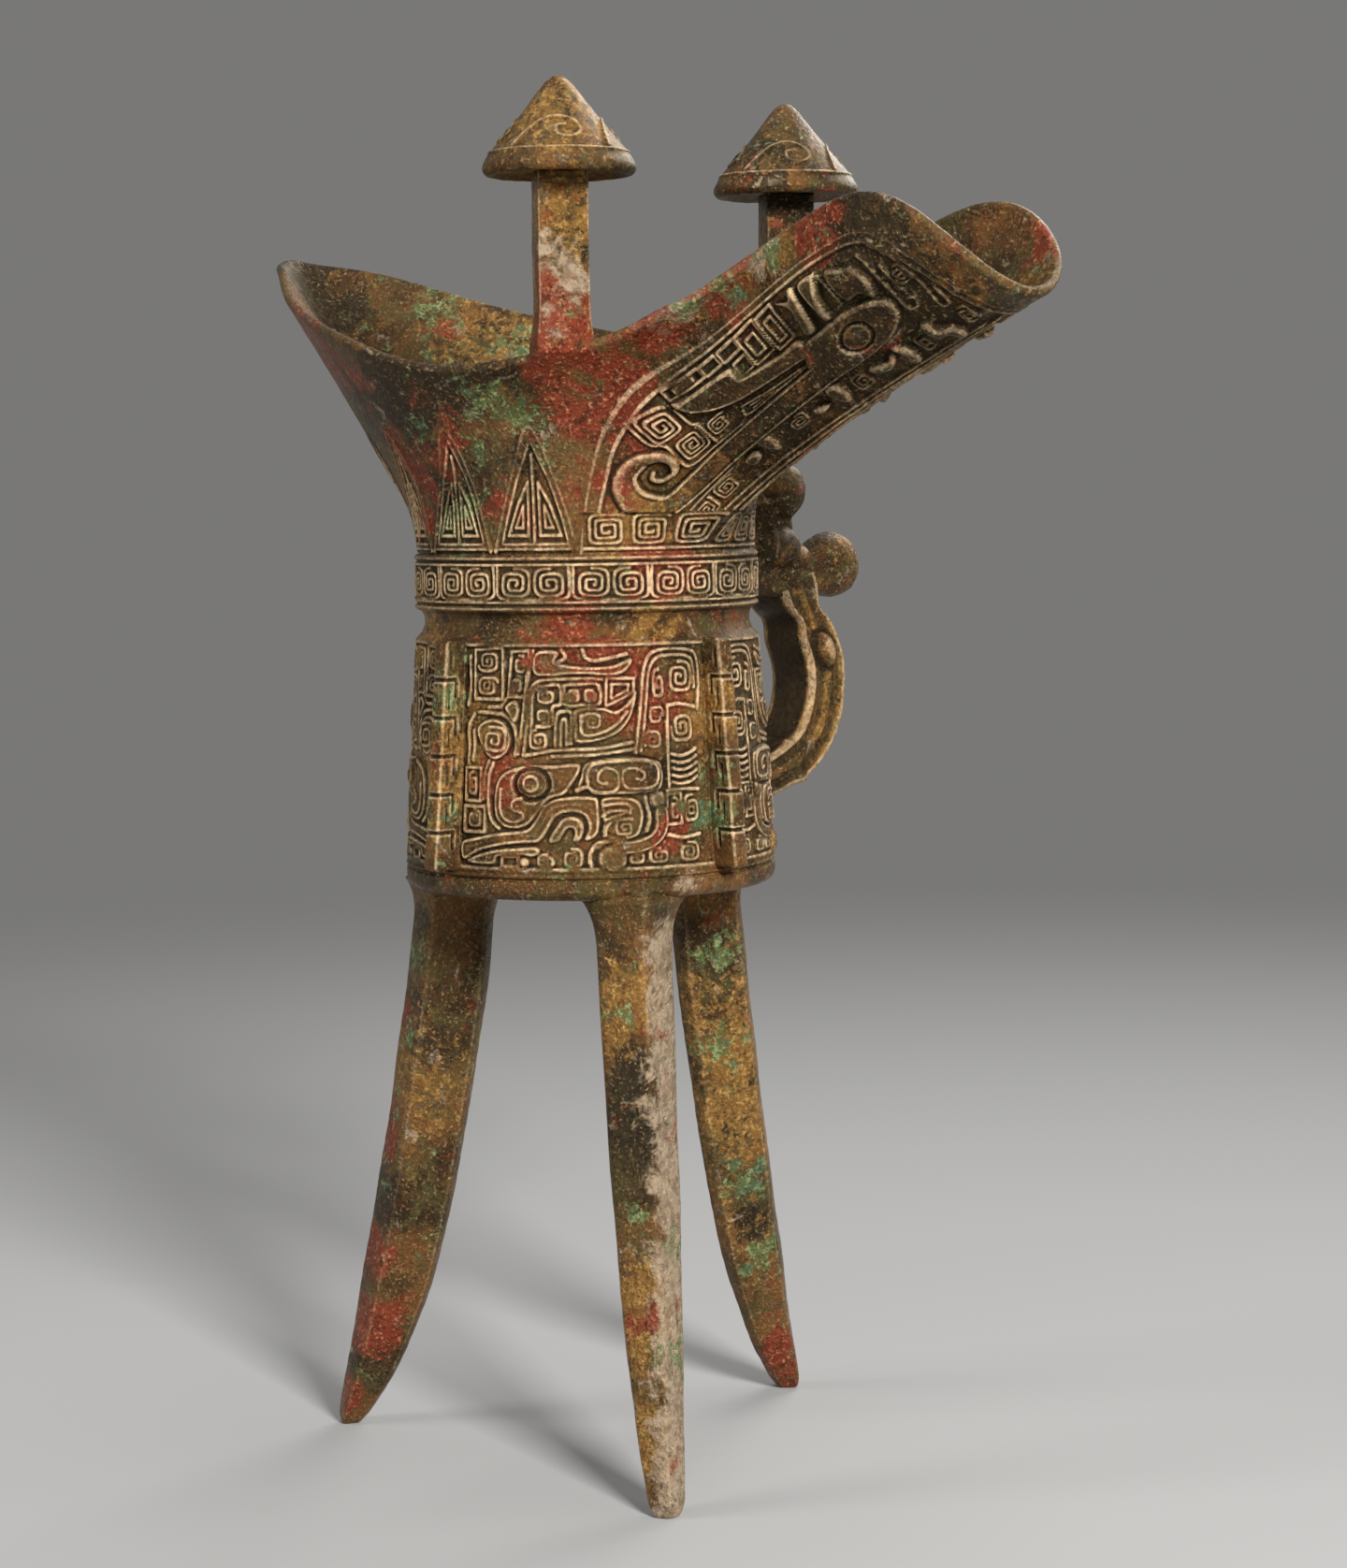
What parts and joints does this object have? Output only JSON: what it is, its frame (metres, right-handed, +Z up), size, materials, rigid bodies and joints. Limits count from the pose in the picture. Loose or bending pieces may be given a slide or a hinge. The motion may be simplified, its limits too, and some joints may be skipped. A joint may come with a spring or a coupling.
{
  "type": "jue wine vessel",
  "caption": "Bronze jue wine vessel on blade legs, with open spout, pointed tail, capped posts, notched flanges and a beast-headed loop handle.",
  "frame": {"origin": "middle of the footprint of the whole vessel, on the surface that it stands on", "axes": "+Z up; +X along the spout, -X along the tail; +Y towards the handle"},
  "size_m": [0.1706, 0.099, 0.2201],
  "materials": {
    "bronze": "aged cast bronze with brown, red and green patina"
  },
  "bodies": {
    "root": {"vessel_body": "bronze", "handle_loop": "bronze", "handle_head": "bronze", "leg_front": "bronze", "leg_handle": "bronze", "leg_tail": "bronze", "post_near": "bronze", "post_far": "bronze", "cap_near": "bronze", "cap_far": "bronze", "flange_front": "bronze", "flange_spout": "bronze", "flange_tail": "bronze"}
  },
  "joints": []
}
